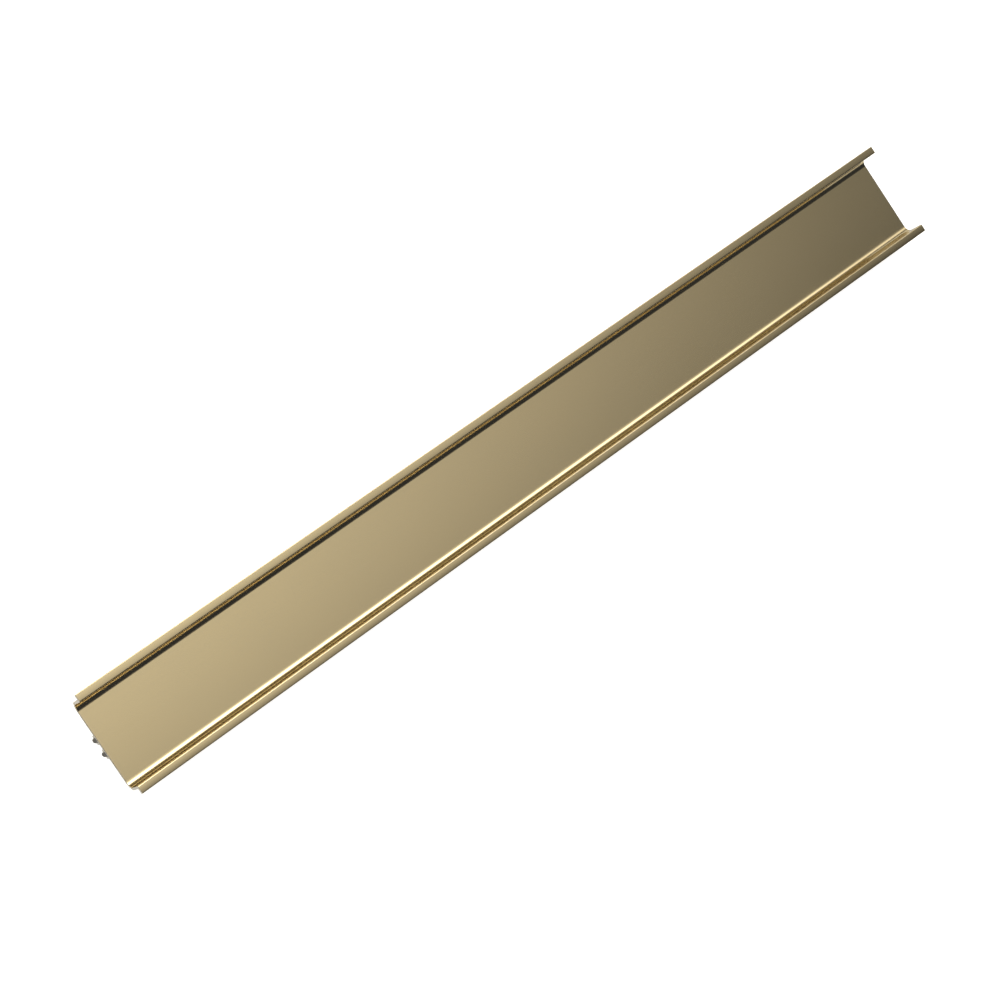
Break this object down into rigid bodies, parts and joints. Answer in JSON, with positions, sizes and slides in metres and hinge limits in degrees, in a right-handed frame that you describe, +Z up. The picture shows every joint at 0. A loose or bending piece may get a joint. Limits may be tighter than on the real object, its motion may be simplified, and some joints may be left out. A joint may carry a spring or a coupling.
{
  "type": "door sweep",
  "caption": "U-shaped aluminium door-bottom sweep: the channel with rounded lips cups the door's lower edge, and soft black fins keyed under its floor wipe the threshold.",
  "frame": {"origin": "middle of the channel floor's upper face, the face that the door's bottom edge rests on", "axes": "+X along the sweep, +Y across the door's thickness to the rear side, +Z up into the door"},
  "size_m": [0.52, 0.0534, 0.0233],
  "materials": {
    "anodised_aluminium": "satin champagne anodised, fine lengthwise die lines",
    "black_vinyl": "matt soft vinyl"
  },
  "bodies": {
    "channel": {"channel": "anodised_aluminium", "front_seal_root": "black_vinyl", "rear_seal_root": "black_vinyl"},
    "front_fin": {"front_seal_fin": "black_vinyl"},
    "rear_fin": {"rear_seal_fin": "black_vinyl"}
  },
  "joints": [
    {"name": "front_fin_flex", "type": "hinge", "parent": "channel", "child": "front_fin", "pos_m": [0, -0.0038, -0.00675], "axis": [1, 0, 0], "range_deg": [-35, 35], "stiffness_Nm_per_rad": 0.3},
    {"name": "rear_fin_flex", "type": "hinge", "parent": "channel", "child": "rear_fin", "pos_m": [0, 0.0038, -0.00675], "axis": [1, 0, 0], "range_deg": [-35, 35], "stiffness_Nm_per_rad": 0.3}
  ]
}
